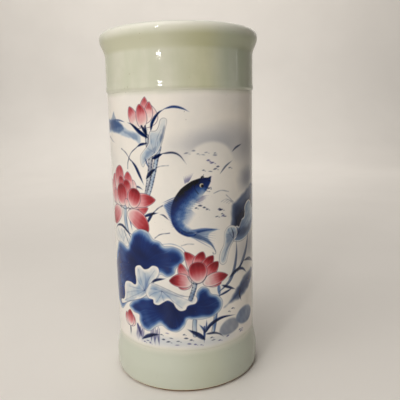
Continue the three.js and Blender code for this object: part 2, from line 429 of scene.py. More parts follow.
# ---------------------------------------------------------------- painting: the lotus pond
def mists(c):
    """Soft grey water behind the plants, with bright water left blank round the fish."""
    haze(c, (54, 250), 58, 23, GREY, 0.42)
    haze(c, (18, 247), 42, 17, GREY, 0.26)
    haze(c, (84, 232), 30, 30, GREY, 0.35)
    blank(c, (29, 229), 25, 21, 2.2)
    haze(c, (80, 210), 24, 16, GREY, 0.85)
    rock(c, [(33, 57), (35, 65), (43, 70.5), (53, 70), (59, 65), (60, 57), (50, 53), (40, 53)],
            ((0.62, 0.64, 0.68), (0.44, 0.47, 0.54)))
    rock(c, [(55, 68), (61, 75), (72, 77), (84, 73), (90, 64), (82, 57), (68, 57), (59, 61)],
            ((0.52, 0.58, 0.68), (0.27, 0.34, 0.48)))
    haze(c, (-30, 53), 42, 8, PALE, 0.35)
    haze(c, (20, 51), 44, 7, PALE, 0.25)


def top_bud(c):
    """The tall bud, its blade leaves and the arching reed beside it."""
    petal(c, (-36, 268), (-34, 292), 5.8, 0, 0.55, 0.25, 0.8)
    petal(c, (-34, 264), (-28, 284.5), 5.2, -0.22, 0.12, 0.3, 0.6)
    petal(c, (-34, 268), (-29.5, 287.5), 4.8, -0.05, 0.62, 0.3, 0.78)
    petal(c, (-39, 264), (-52.5, 283.5), 6, 0.08, 0.62, 0.3, 0.66)
    petal(c, (-37.5, 263.5), (-40.5, 285.5), 6, -0.03, 0.68, 0.12, 0.66)
    stroke(c, [(-38.5, 265.5), (-36, 262), (-33, 256)], 3.4, INK, 0.95, 0.4, 0.7)
    stroke(c, [(-34.5, 265.5), (-34, 261), (-32.5, 256)], 2.6, NAVY, 0.9, 0.4, 0.7)
    stroke(c, [(-32, 254.5), (-41, 260), (-50, 267), (-56, 269)], 4, NAVY, 1, 0.35)
    stroke(c, [(-60, 269.5), (-70, 271.5), (-80, 272)], 1.4, COBALT, 0.75, 0.4)
    stroke(c, [(-29, 261), (-27, 269), (-21, 277), (-14, 281)], 3.2, NAVY, 0.95, 0.35)
    stroke(c, [(-16, 280.5), (-7, 282.5), (1, 281), (8, 277.5)], 2.4, COBALT, 0.9)


def edge_leaf(c):
    """The wet leaf seen from its side, at the left edge of the front."""
    mist(c, [(-134, 262), (-118, 272), (-100, 273), (-82, 273.5), (-68, 271), (-58, 264), (-46, 261),
            (-39, 256), (-41, 248), (-50, 252.5), (-64, 255.5), (-78, 258), (-96, 258), (-118, 255)],
            PALE, 0.75, 2.4)
    mist(c, [(-132, 263), (-112, 273), (-88, 273), (-70, 271.5), (-60, 264), (-68, 258), (-90, 259.5),
            (-110, 258.5)], SLATE, 0.8, 3.2)
    mist(c, [(-106, 269), (-86, 272.5), (-72, 271.5), (-62, 265.5), (-76, 261.5), (-96, 263)], BLUE, 0.4,
            3.5)
    mist(c, [(-92, 270), (-85, 276), (-79, 281), (-76, 275.5), (-71, 270)], SLATE, 0.6, 2.2)
    mist(c, [(-66, 262), (-54, 261), (-43, 258), (-44, 251), (-56, 256)], SLATE, 0.4, 2.5)
    stroke(c, [(-108, 254), (-97, 255), (-88, 251.5), (-79, 249)], 2, GREY, 0.7)


def furled_leaf(c):
    """The pale leaf still rolled up, on its pair of thorny stems."""
    stem(c, [(-33, 256), (-32.5, 248), (-30, 240), (-31, 228), (-33, 216), (-36, 202)], 3.8, GREY)
    stem(c, [(-21, 246), (-24, 236), (-27, 224), (-31, 210), (-34, 202)], 3.6)
    pale_leaf(c, [(-31, 256), (-29.5, 260.5), (-24, 261), (-21, 265), (-19, 271), (-15.5, 272.5), (-13, 270),
            (-15, 262), (-17, 254), (-20, 246), (-24, 240), (-31, 236), (-36, 231), (-38.5, 227.5),
            (-41, 231), (-41, 238), (-37, 243), (-32, 249)],
            (-26, 241), [(-19, 262), (-22, 254), (-29, 257), (-38, 232), (-34, 246)], 0.55, 14, 1.6, 0.36)
    mist(c, [(-15, 268), (-14.5, 262), (-17, 252), (-21, 246), (-21, 254), (-18, 262)], DUSK, 0.65, 2.2)
    mist(c, [(-21, 248), (-27, 247), (-35, 242), (-39, 236), (-37, 233), (-28, 239)], SLATE, 0.45, 3)


def thin_reeds(c):
    """Grass blades between the bud and the left lotus."""
    stroke(c, [(-33, 249.5), (-40, 248.5), (-46, 245.5)], 2.6, NAVY, 0.95)
    line(c, [(-45, 246), (-53, 240), (-57.5, 232), (-58.5, 225)], 0.9, INK, 0.7)
    line(c, [(-67, 244), (-60, 240), (-54, 233)], 1, INK, 0.6)
    stroke(c, [(-55, 235), (-48, 228), (-43, 219), (-38.5, 210)], 3.2, NAVY, 0.95, 0.5)
    stroke(c, [(-29, 235), (-23, 238), (-17, 240.5)], 3.6, NAVY, 1, 0.4)
    stroke(c, [(-19, 240), (-9, 241), (-2, 238), (4, 230)], 2, INK, 0.85, 0.35)
    stroke(c, [(-36, 216), (-31, 222), (-24, 227)], 3.6, NAVY, 1, 0.4)
    line(c, [(-25, 227), (-20, 228.5), (-13, 229)], 0.8, GREY, 0.8)
    stroke(c, [(-50, 208), (-45, 208), (-40, 205.5)], 1.8, NAVY, 0.85, 0.4)
    stroke(c, [(-36, 236), (-34, 230), (-32, 226)], 1.8, COBALT, 0.7)
    for start, end in (((-41, 179), (-24, 184)), ((-37, 173), (-28, 186))):
        middle = ((start[0] + end[0]) / 2, (start[1] + end[1]) / 2 + 0.8)
        stroke(c, [start, middle, end], 3, NAVY, 0.95, 0.4)
    line(c, [(-30, 183), (-25, 188), (-20, 191)], 1, INK, 0.7)
    stroke(c, [(-23, 182.5), (-19, 181.5), (-14, 177)], 1.6, INK, 0.8)
    line(c, [(-29, 159), (-23, 163), (-14, 164.5)], 0.9, INK, 0.6)
    line(c, [(-3, 152), (3, 153.5), (9, 153)], 0.8, GREY, 0.8)


def left_lotus(c):
    """The large open lotus on the left, with two fallen petals below it."""
    stem(c, [(-66, 188), (-66.5, 176), (-64, 162), (-59, 150)], 4.6, thorns=False)
    stroke(c, [(-62, 182), (-59, 174), (-56, 163)], 1.8, COBALT, 0.7)
    petal(c, (-82, 190), (-101, 210), 9, 0.1, 0.5, 0.1)
    petal(c, (-78, 193), (-88, 218), 9, 0.06, 0.55, 0.1)
    petal(c, (-74, 198), (-72, 227.5), 10, 0.08, 0.6, 0.15, 0.55)
    petal(c, (-62, 194), (-51, 214), 5.6, -0.15, 0.15)
    petal(c, (-62, 196), (-59, 222), 7.4, -0.04, 0.62, 0.35, 0.62)
    petal(c, (-72, 202), (-71, 217), 5.6, 0, 0.85, 0)
    petal(c, (-58, 190), (-27, 196.5), 7.4, 0.05, 0.88, 0.25, 0.7)
    petal(c, (-60, 184), (-35, 188), 4.6, -0.12, 0.7, 0.15, 0.65)
    petal(c, (-62, 196), (-62, 214), 6.8, 0, 0.85, 0)
    petal(c, (-80, 186), (-88, 203), 7, 0.08, 0.5)
    petal(c, (-69, 187), (-72, 209.5), 10.4, 0.02, 0.97, 0)
    petal(c, (-55, 187), (-48.5, 206), 8.8, 0.02, 1.08, 0.04)
    petal(c, (-61, 186), (-64, 195), 3.4, 0, 0.3)
    line(c, [(-76, 187), (-66, 184.5), (-60, 186), (-54, 184.5), (-46, 186)], 0.8, INK, 0.7)
    line(c, [(-90, 190), (-80, 186.5), (-70, 187)], 0.7, INK, 0.5)
    petal(c, (-72, 184), (-96, 168), 8.8, -0.05, 0.8, 0)
    petal(c, (-62, 182), (-35.5, 165), 9, 0.08, 0.88, 0.05, 0.6)


def upper_leaves(c):
    """The largest dark leaf, and the white leaf folded behind it."""
    pale_leaf(c, [(-92, 150), (-90, 160), (-82, 165), (-72, 165), (-63, 160), (-58, 152), (-66, 146),
            (-80, 147)], (-72, 150), [(-84, 160), (-76, 163), (-66, 158)], 0.3)
    stroke(c, [(-93, 159), (-84, 165), (-73, 166.5), (-62, 161), (-56, 159.5)], 3, NAVY, 0.95, 0.6)
    line(c, [(-70, 162), (-66, 155), (-62, 148)], 1, INK, 0.5)
    dark_leaf(c, [(-65, 145), (-61, 154), (-55, 162), (-46, 166.5), (-37, 165), (-31, 158), (-24, 155.5),
            (-20, 151.5), (-11, 151), (-3, 147), (0, 140), (-4, 134), (-9, 129.5), (-11, 124), (-18, 120.5),
            (-25, 123), (-30, 116), (-48, 100), (-58, 92), (-72, 84), (-84, 74), (-96, 78), (-103, 96),
            (-101, 120), (-93, 136), (-84, 147.5), (-73, 148)], (-46, 132), 2.1, 9)
    line(c, [(-22, 153.2), (-12, 153.8), (-3, 150), (2.5, 143)], 0.5, BLUE, 0.7)


def lower_leaves(c):
    """The lower dark leaf with the pale veined leaf that curls over it."""
    dark_leaf(c, [(-67, 83), (-56, 92), (-40, 99), (-20, 99), (0, 94), (9, 97), (11, 105), (16, 109.5),
            (22, 107), (25.5, 101), (33, 98), (38, 91), (36, 83), (28, 78), (16, 76), (7, 76.5), (1, 77),
            (-3, 69), (-10, 64), (-19, 66), (-25, 70), (-31, 68), (-39, 62), (-47, 63.5), (-51.5, 70),
            (-52, 77), (-60, 78)], (-12, 90), 1.8, 6)
    pale_leaf(c, [(-55, 121), (-54, 127), (-48, 129.5), (-43, 126.5), (-38, 127.5), (-33, 131), (-27.5, 130),
            (-26, 125), (-29, 119), (-34, 112), (-37, 106), (-41, 100), (-48, 95), (-58, 91), (-68, 87),
            (-78, 82), (-85, 80), (-86, 84), (-78, 87), (-75, 93), (-75, 102), (-71, 108), (-63, 109.5),
            (-56, 108), (-54, 112)],
            (-43, 104), [(-50, 125), (-42, 122), (-31, 126), (-66, 104), (-70, 96), (-76, 86), (-55, 118)],
            0.8, 14)
    pale_leaf(c, [(-39, 109), (-35, 113), (-26, 111), (-16, 107), (-6, 102.5), (2, 100.5), (9, 101),
            (11, 97), (9, 93), (4, 92), (1, 90.5), (-1, 87), (-6, 86), (-10, 89), (-13, 94), (-18, 96.5),
            (-23, 94), (-28, 91), (-33, 92), (-34, 96), (-39, 97), (-42, 103)],
            (-24, 106), [(-38, 99), (-30, 94), (-22, 96), (-12, 94), (-4, 89), (6, 95), (-36, 107)], 0.8, 12)
    mist(c, [(-37, 111), (-34, 113.5), (-22, 110.5), (-8, 104.5), (4, 101), (-8, 99), (-22, 104)],
            SLATE, 0.38, 3)
    mist(c, [(-56, 92), (-46, 104), (-42, 118), (-34, 122), (-36, 112), (-42, 99)], BLUE, 0.4, 5)
    stroke(c, [(-80, 84), (-66, 89), (-54, 95)], 4, PALE, 0.6, 0.6)


def right_lotus(c):
    """The open lotus low on the right of the front."""
    stem(c, [(9.5, 115), (8, 108), (4.5, 98)], 4, SLATE)
    stroke(c, [(-35, 113.5), (-29, 117), (-19, 119)], 3, NAVY, 0.95, 0.4)
    petal(c, (7, 124), (0, 146), 5.8, -0.13, 0.95, 0.25, 0.75)
    petal(c, (12, 124), (17.5, 145), 6.4, 0.05, 1.05, 0.25, 0.64)
    petal(c, (18, 119), (28, 140), 6.2, 0.1, 1.08, 0.2, 0.66)
    petal(c, (20, 114), (33.5, 133), 6.6, 0.08, 1.1, 0.15, 0.66)
    petal(c, (6, 116), (-5, 134.5), 5, 0.12, 0.68, 0.15, 0.62)
    petal(c, (20, 112), (37, 110.5), 2.6, -0.06, 0.7, 0.2, 0.6)
    petal(c, (17, 113), (45, 117), 6.6, 0.04, 1, 0.2, 0.8)
    petal(c, (6, 112.5), (-7, 110.5), 2.6, 0.1, 0.7, 0.1)
    petal(c, (6, 114), (-16, 117), 7, -0.08, 1.1, 0.15, 0.7)
    petal(c, (13, 113.5), (11, 135), 9.2, -0.02, 1.08, 0.05, 0.45)
    line(c, [(2, 121), (5, 115.5), (10, 113), (17, 114.5), (21, 120)], 0.7, INK, 0.65)


def right_leaves(c):
    """The dark leaf at the right edge, its pale folded rim and the rolled leaf below."""
    haze(c, (72, 136), 24, 24, GREY, 0.35)
    mist(c, [(49, 160), (48, 176), (50, 188), (58, 193), (70, 198), (82, 204), (96, 205), (106, 194),
            (108, 178), (100, 162), (80, 154), (60, 154)], DUSK, 1, 5)
    mist(c, [(51, 162), (51, 176), (54, 186), (66, 189), (80, 193), (94, 192), (100, 176), (90, 160),
            (66, 158)], DUSK, 0.85, 7)
    mist(c, [(54, 162), (56, 176), (66, 182), (78, 180), (78, 164), (66, 160)], COBALT, 0.8, 6)
    pale_leaf(c, [(76, 186), (82, 188), (88, 186), (92, 180), (99, 174), (100, 164), (93, 156), (84, 152),
            (74, 149), (62, 148), (53, 150.5), (47, 156), (52, 163), (58, 165), (62, 163.5), (64, 166.5),
            (67, 170.5), (71.5, 172), (72.5, 177), (72.5, 182)],
            (56, 153), [(80, 184), (86, 176), (80, 166), (64, 163)], 1, 20, 2.5, 0.55)
    pale_leaf(c, [(41, 153), (41.5, 161), (46, 166), (52, 166.5), (58, 163), (59, 155), (53, 150), (48, 144),
            (45, 136), (43, 130.5), (38.5, 129), (35, 133), (36, 141), (40, 148)],
            (52, 154), [(46, 164), (54, 163), (39, 133), (44, 159)], 0.65, 14, 2.5, 0.3)
    mist(c, [(56, 163), (66, 164), (80, 164), (92, 170), (94, 160), (78, 152), (60, 151)], DUSK, 0.7, 6)
    mist(c, [(43, 158), (50, 162), (58, 160), (56, 152), (47, 144), (41, 133), (38, 134), (42, 146)],
            GREY, 0.5, 3)
    stroke(c, [(50, 165), (53, 158), (53, 150)], 1.6, INK, 0.75)
    line(c, [(66, 169), (63, 161), (57, 154)], 0.8, INK, 0.6)
    haze(c, (88, 142), 14, 20, GREY, 0.6)


def right_reeds(c):
    """Tall dark blades that rise between the two leaves on the right."""
    stroke(c, [(33, 101), (47, 110), (54, 122), (57.5, 138), (57, 153)], 4.4, DUSK, 1)
    stroke(c, [(58, 116), (68, 127), (76, 139), (81, 156)], 5.4, DUSK, 0.9)
    stroke(c, [(45, 113), (56, 119), (67, 118.5), (77, 111)], 3.4, NAVY, 0.9, 0.5)
    stroke(c, [(46, 112), (60, 120), (74, 129)], 2.6, COBALT, 0.8, 0.5)
    stroke(c, [(37, 108), (46, 104), (56, 99)], 3, NAVY, 0.9, 0.4)
    stroke(c, [(32, 97), (42, 99.5), (52, 102)], 2.6, NAVY, 0.85, 0.5)
    stroke(c, [(70, 126), (82, 125), (98, 118)], 4, INK, 0.8)
    stroke(c, [(34, 112), (34, 106), (35, 96)], 4, BLUE, 0.8, 0.5, 0.6)
    mist(c, [(38, 83), (48, 93), (60, 104), (74, 112), (92, 114), (96, 104), (84, 94), (70, 88), (54, 85)],
            DUSK, 1, 4.5)
    mist(c, [(44, 86), (54, 96), (64, 104), (78, 110), (94, 112), (94, 104), (82, 95), (68, 90)],
            BLUE, 0.9, 6)
    stroke(c, [(64, 99), (62, 92), (65, 84)], 2.4, NAVY, 0.8)
    stroke(c, [(52, 239), (58, 243), (68, 246)], 2.2, INK, 0.65)
    stroke(c, [(37, 219), (44, 226), (53, 231)], 2, INK, 0.6)
    line(c, [(30, 201), (38, 203), (47, 201)], 0.8, GREY, 0.9)
    line(c, [(44, 198), (50, 193), (53, 190)], 0.7, GREY, 0.8)


def weeds(c):
    """The pond's bottom: a small bud, grasses, stalks and duckweed."""
    stroke(c, [(-67, 64), (-66.5, 57), (-67, 50)], 2.2, INK, 0.75, tail=0.6)
    petal(c, (-67, 61), (-74, 74), 4.6, 0.1, 0.5, 0.2, 0.6)
    petal(c, (-66, 61), (-61, 74), 4.6, -0.1, 0.55, 0.2, 0.6)
    petal(c, (-67, 60.5), (-66, 78.5), 6.2, 0, 0.85, 0.1, 0.65)
    stroke(c, [(-56, 67), (-52, 60), (-49.5, 52)], 4.4, VIOLET, 0.9, 0.4)
    stroke(c, [(-49.5, 51), (-42, 56), (-34, 59), (-27, 60)], 4, NAVY, 0.95)
    for k in range(7):
        u = -38 + 1.5 * k
        sway = 2.2 * math.sin(k * 2.1)
        foot = 49 + 2 * math.cos(k * 1.7)
        stroke(c, [(u + 1 + sway, 66 + sway), (u + 0.3, 58), (u - sway, foot)], 2, VIOLET, 0.55, tail=0.5)
        stroke(c, [(u - 17 + sway, 65 - sway), (u - 18, 58), (u - 20, foot)], 1.8, VIOLET, 0.5, tail=0.5)
    stem(c, [(8, 75), (7.5, 68), (8, 60)], 4, thorns=False)
    stem(c, [(30, 80), (29, 72), (27, 62)], 3.6, BLUE, thorns=False)
    stroke(c, [(18, 61), (23, 68), (31, 72.5), (40, 74), (55, 72)], 3.8, NAVY, 0.95, 0.3)
    stroke(c, [(18, 54), (11, 60), (0, 67)], 5, NAVY, 0.95, 0.35)
    stroke(c, [(17.5, 61), (16, 66), (12, 71)], 2.2, COBALT, 0.8)
    stroke(c, [(17.5, 62), (19.5, 68), (20, 75)], 1.8, COBALT, 0.8)
    stroke(c, [(17.5, 68), (17.5, 60), (17, 51)], 2.6, COBALT, 0.85, tail=0.6)
    stroke(c, [(19, 60), (28, 59.5), (34, 57), (39, 52.5)], 2.6, INK, 0.8, 0.3)
    duckweed(c, [(-24, 55), (-19, 53), (-26, 60), (-16, 57), (-9, 54), (-3, 61), (-1, 57), (4, 55), (25, 55),
            (27, 52), (46, 78), (51, 80)])
    duckweed(c, [(62, 53), (64, 51), (66, 53), (-20, 62), (-42, 51), (-39, 49), (2, 51), (8, 50), (-46, 49),
            (-10, 50), (14, 49), (34, 50), (44, 52)], VIOLET)


def drifting(c):
    """Duckweed round the fish."""
    duckweed(c, [(11, 242), (4, 240), (15, 239), (20, 238), (23, 240), (32, 239), (32, 237)], GREY, 0.9)
    duckweed(c, [(25, 232.5), (29, 230), (27, 231)], VIOLET, 0.9)
    duckweed(c, [(35, 226), (32, 224), (20, 223.5), (27, 222), (49, 224), (25, 206)], INK, 0.7)
    duckweed(c, [(36, 185), (38, 184), (39, 180), (42, 177), (33, 178), (12, 188), (16, 190), (20, 188),
            (23, 186)], INK)
    duckweed(c, [(37, 184), (40, 178)], VIOLET)
    for k in range(4):
        line(c, [(38 + 3 * k, 192 - k), (44 + 3 * k, 194 - k), (50 + 2 * k, 191 - 2 * k)], 0.5, GREY, 0.6)


def front(c):
    """Everything on the side with the fish, back to front."""
    c.move()
    mists(c)
    edge_leaf(c)
    furled_leaf(c)
    top_bud(c)
    thin_reeds(c)
    fish(c)
    drifting(c)
    right_leaves(c)
    right_reeds(c)
    left_lotus(c)
    upper_leaves(c)
    weeds(c)
    lower_leaves(c)
    right_lotus(c)


def back(c):
    """The far side: the pond goes on, with a second carp, three more flowers and two buds."""
    for u, v, mirror in ((232, 6, -1), (-215, 0, 1)):
        c.move(u, v, mirror)
        mists(c)
    for u, v, mirror, scale in ((226, 14, -1, 0.95), (158, 10, 1, 0.85)):
        c.move(u, v, mirror, scale)
        furled_leaf(c)
        top_bud(c)
        thin_reeds(c)
    c.move(240, 6, -1)
    drifting(c)
    c.move(-128, 12, -1)
    drifting(c)
    fish(c)
    c.move(196, 4, -1)
    left_lotus(c)
    c.move(206, -2, -1)
    upper_leaves(c)
    for u, v in ((120, 6), (-202, 0)):
        c.move(u, v)
        right_reeds(c)
    c.move()
    stem(c, [(133, 172), (138, 140), (134, 100), (139, 56)], 3.8)
    duckweed(c, [(108, 57), (116, 52), (128, 54), (137, 50), (146, 55), (-112, 56), (-121, 52), (-150, 50)],
            VIOLET)
    c.move(142, 56, -1)
    right_lotus(c)
    c.move(236, 0, -1)
    weeds(c)
    c.move(222, 0, -1)
    lower_leaves(c)
    c.move(226, 2, -1)
    right_lotus(c)


def borders(c):
    """Where the celadon's edges run a little way over the white ground."""
    index, u, v = c.window(np.array([[0, 40], [c.around - c.step_u, 300]]), 0)
    turn = u * 2 * math.pi / c.around
    wander = 0.5 * np.sin(7 * turn) + 0.35 * np.sin(17 * turn + 2) + 0.2 * np.sin(41 * turn + 1)
    for edge, inward in ((44.0, 1), (297.0, -1)):
        gap = (v - edge) * inward + 0.6 * wander
        c.stain(index, CELADON_EDGE, ramp(-gap, -4.5, 0.2))


def paint(c):
    """The whole panel, the far side first."""
    back(c)
    front(c)
    borders(c)


# ---------------------------------------------------------------- surfaces: measures from the frame
def measure(node):
    """A round CAD node's largest radius and the height of that, its smallest radius and its two ends."""
    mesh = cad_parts[node].data
    flat = np.empty(len(mesh.vertices) * 3)
    mesh.vertices.foreach_get("co", flat)
    x, y, height = flat.reshape(-1, 3).T
    radius = np.hypot(x, y)
    bottom, top = (corner[2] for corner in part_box(node))
    return radius.max(), height[radius.argmax()], radius.min(), bottom, top


PANEL_RADIUS, _, PANEL_BACK, LOWER_BORDER, UPPER_BORDER = measure("painted_panel_coat")
LIP_RADIUS, LIP_WIDEST, WELL_RADIUS, _, LIP_TOP = measure("upper_celadon_coat")
CLAY_LIP_RADIUS, _, _, NECK, _ = measure("rolled_lip")
_, _, _, FLOOR_GLAZE, WELL_GLAZE_TOP = measure("inner_glaze_coat")
FOOT_RADIUS, _, _, GLAZE_END, _ = measure("lower_celadon_coat")
CLAY_FOOT_RADIUS, _, RING_INNER, _, RING_TOP = measure("foot_ring")
RECESS_RADIUS, _, _, RECESS_GLAZE, _ = measure("base_glaze_coat")
CELADON_COAT = LIP_RADIUS - CLAY_LIP_RADIUS - 0.1 * MM
CLEAR_COAT = PANEL_RADIUS - PANEL_BACK
BAND_RADIUS = PANEL_BACK + CELADON_COAT
BEAD_RADIUS = BAND_RADIUS + 0.55 * MM
BEAD_HEIGHT = 9 * MM
FLARE_TOP = LOWER_BORDER - 2 * MM
FLARE_FOOT = 18 * MM
TOE = 10.5 * MM
TOE_DROP = 10 * MM
TOE_TUCK = 2.2 * MM
WELL_FILLET = 5 * MM


# ---------------------------------------------------------------- surfaces: outlines and lathes
def ease(start, end, steps):
    """An S-shaped change of radius between two (radius, height) points."""
    share = np.linspace(0, 1, steps + 1)
    blend = (1 - np.cos(math.pi * share)) / 2
    radius = start[0] + (end[0] - start[0]) * blend
    return list(zip(radius, start[1] + (end[1] - start[1]) * share))


def arc(centre, half_width, half_height, start, end, steps):
    """Part of an ellipse, from one angle in degrees to another."""
    angle = np.radians(np.linspace(start, end, steps + 1))
    return list(zip(centre[0] + half_width * np.cos(angle), centre[1] + half_height * np.sin(angle)))


def toe(foot_radius, start, end, steps):
    """The tuck of the foot towards the table."""
    height = np.linspace(start, end, steps + 1)
    drop = np.clip((TOE - height) / TOE_DROP, 0, 1)
    return list(zip(foot_radius - TOE_TUCK * (1 - np.sqrt(1 - drop**2)), height))


def lip(depth, steps=1.0):
    """The lip's surface at a depth under its glaze, from the neck over the crest to the inside."""
    neck = (BAND_RADIUS - depth, NECK)
    side = (LIP_RADIUS - depth, LIP_WIDEST)
    middle = ((LIP_RADIUS + WELL_RADIUS) / 2, LIP_WIDEST)
    half_width = (LIP_RADIUS - WELL_RADIUS) / 2 - depth
    rise = LIP_TOP - LIP_WIDEST - depth
    return ease(neck, side, round(24 * steps)) + arc(middle, half_width, rise, 0, 180, round(40 * steps))[1:]


def wobble(x, y, z):
    """Tiny unevenness of a thrown pot: a share of a millimetre, slow round the wall and up it."""
    angle = np.arctan2(y, x)
    height = z / MM
    rings = 0.003 * np.sin(height * 0.9) * np.sin(height * 0.043 + 1)
    lobes = 0.06 * np.sin(2 * angle + height * 0.011) + 0.04 * np.sin(3 * angle - height * 0.017 + 2)
    return (rings + lobes) * MM


def add_object(name, data):
    """An object in the scene that shows a mesh, a light or a camera."""
    thing = bpy.data.objects.new(name, data)
    bpy.context.collection.objects.link(thing)
    return thing


def add_mesh(name, vertices, faces):
    """A smoothly shaded mesh object."""
    mesh = bpy.data.meshes.new(name)
    mesh.from_pydata(vertices, [], faces)
    mesh.shade_smooth()
    return add_object(name, mesh)


def quads(rings, around, closed=True):
    """Faces between rings of vertices. closed joins the last ring to the first."""
    here = np.arange(around)
    after = (here + 1) % around
    low = np.arange(rings)[:, None] * around
    high = np.roll(low, -1, axis=0)
    faces = np.stack([low + here, low + after, high + after, high + here], axis=-1)
    return (faces if closed else faces[:-1]).reshape(-1, 4).tolist()


def lathe(name, outline, uneven=True):
    """A closed turned solid. The outline is a loop, or starts and ends on the axis."""
    points = np.array(outline)
    capped = points[0, 0] == 0
    rim = points[1:-1] if capped else points
    angle = np.arange(SEGMENTS) * 2 * math.pi / SEGMENTS
    x = rim[:, :1] * np.cos(angle)
    y = rim[:, :1] * np.sin(angle)
    z = np.repeat(rim[:, 1:], SEGMENTS, axis=1)
    if uneven:
        inward = 1 - (0.1 * MM - wobble(x, y, z)) / np.maximum(rim[:, :1], 20 * MM)
        x, y = x * inward, y * inward
    vertices = np.stack([x, y, z], axis=-1).reshape(-1, 3).tolist()
    faces = quads(len(rim), SEGMENTS, not capped)
    if capped:
        first = len(vertices)
        top = first - SEGMENTS
        vertices += [(0, 0, points[0, 1]), (0, 0, points[-1, 1])]
        ring = [(k, (k + 1) % SEGMENTS) for k in range(SEGMENTS)]
        faces += [(first, b, a) for a, b in ring] + [(first + 1, top + a, top + b) for a, b in ring]
    return add_mesh(name, vertices, faces)


def finish_piece(piece, node, material):
    """Puts a fine piece in a CAD node's place."""
    piece.data.materials.append(material)
    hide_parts(node)
    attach(piece, "root")


def upper_coat():
    """Celadon from the border bead up over the lip and down inside."""
    bead = UPPER_BORDER + 0.1 * MM
    crest = bead + 0.4 * BEAD_HEIGHT
    edge = PANEL_RADIUS - 0.05 * MM
    outer = arc((edge - 0.3 * MM, bead + 0.45 * MM), 0.3 * MM, 0.45 * MM, -80, 0, 5)
    outer += ease((edge, bead + 0.5 * MM), (BEAD_RADIUS, crest), 10)
    outer += ease((BEAD_RADIUS, crest), (BAND_RADIUS, bead + BEAD_HEIGHT), 10)[1:]
    outer += [(BAND_RADIUS, z) for z in np.linspace(bead + BEAD_HEIGHT, NECK, 16)[1:-1]]
    outer += lip(0)
    outer += [(WELL_RADIUS, z) for z in (LIP_WIDEST - 3 * MM, WELL_GLAZE_TOP + 0.3 * MM)]
    inner = [(PANEL_BACK, bead)] + lip(CELADON_COAT, 0.5)
    inner += [(WELL_RADIUS + CELADON_COAT, WELL_GLAZE_TOP + 0.1 * MM)]
    return lathe("celadon_upper_coat", outer + inner[::-1])


def lower_coat():
    """Celadon round the foot, thinning to its end just above the table."""
    top = LOWER_BORDER - 0.1 * MM
    inner_radius = CLAY_FOOT_RADIUS + 0.1 * MM
    end = GLAZE_END + 0.5 * MM
    bottom = toe(FOOT_RADIUS, end, TOE, 12)
    outer = arc((bottom[0][0] - 0.5 * MM, end + 0.6 * MM), 0.45 * MM, 0.55 * MM, -90, -15, 5)
    outer += bottom[2:]
    outer += [(FOOT_RADIUS, z) for z in (13 * MM, 15.5 * MM)]
    outer += ease((FOOT_RADIUS, FLARE_FOOT), (PANEL_RADIUS, FLARE_TOP), 24)
    outer += arc((PANEL_RADIUS - 0.3 * MM, top - 0.4 * MM), 0.3 * MM, 0.4 * MM, 0, 80, 4)
    inner = toe(inner_radius, end, TOE, 6)
    inner += ease((inner_radius, FLARE_FOOT), (PANEL_BACK, FLARE_TOP), 12)
    inner += [(PANEL_BACK, top)]
    return lathe("celadon_lower_coat", outer + inner[::-1])


def well_coat():
    """Clear glaze on the floor and wall of the well."""
    centre = (WELL_RADIUS - WELL_FILLET, FLOOR_GLAZE + CLEAR_COAT + WELL_FILLET)
    back = WELL_FILLET + CLEAR_COAT
    floor = FLOOR_GLAZE + CLEAR_COAT
    under = [(0, FLOOR_GLAZE)] + [(r * MM, FLOOR_GLAZE) for r in (20, 45)]
    under += arc(centre, back, back, -90, 0, 10)
    under += [(WELL_RADIUS + CLEAR_COAT, z) for z in (100 * MM, 200 * MM, WELL_GLAZE_TOP - 1.2 * MM)]
    face = [(WELL_RADIUS, z) for z in np.linspace(WELL_GLAZE_TOP, 40 * MM, 40)]
    face += arc(centre, WELL_FILLET, WELL_FILLET, 0, -90, 14)
    face += [(r * MM, floor) for r in (50, 35, 20, 8)] + [(0, floor)]
    return lathe("well_glaze", under + face)


def ring():
    """The turned foot ring, with softened edges and fine turning marks underneath."""
    contact = toe(CLAY_FOOT_RADIUS, 0.8 * MM, RING_TOP, 8)
    outline = arc((RING_INNER + 1 * MM, 0.8 * MM), 0.9 * MM, 0.8 * MM, 180, 270, 6)
    marks = np.linspace(RING_INNER + 1.4 * MM, contact[0][0] - 1.4 * MM, 12)
    outline += [(r, (0.0 if k % 2 else 0.04) * MM) for k, r in enumerate(marks)]
    outline += arc((contact[0][0] - 0.8 * MM, 0.8 * MM), 0.75 * MM, 0.8 * MM, -90, -10, 6)
    outline += contact[1:]
    outline += [(RING_INNER, RING_TOP)]
    return lathe("turned_foot_ring", outline, uneven=False)


def recess_glaze():
    """Clear glaze in the recess under the foot, a little domed at its edge."""
    outline = [(0, RECESS_GLAZE)] + [(r * MM, RECESS_GLAZE) for r in (15, 35, 55)]
    edge = (RECESS_RADIUS - 0.2 * MM, RECESS_GLAZE + 0.15 * MM)
    outline += ease((RECESS_RADIUS - 4 * MM, RECESS_GLAZE), edge, 6)
    outline += [(RECESS_RADIUS, RING_TOP - 0.1 * MM), (RECESS_RADIUS * 0.5, RING_TOP), (0, RING_TOP)]
    return lathe("recess_glaze", outline, uneven=False)


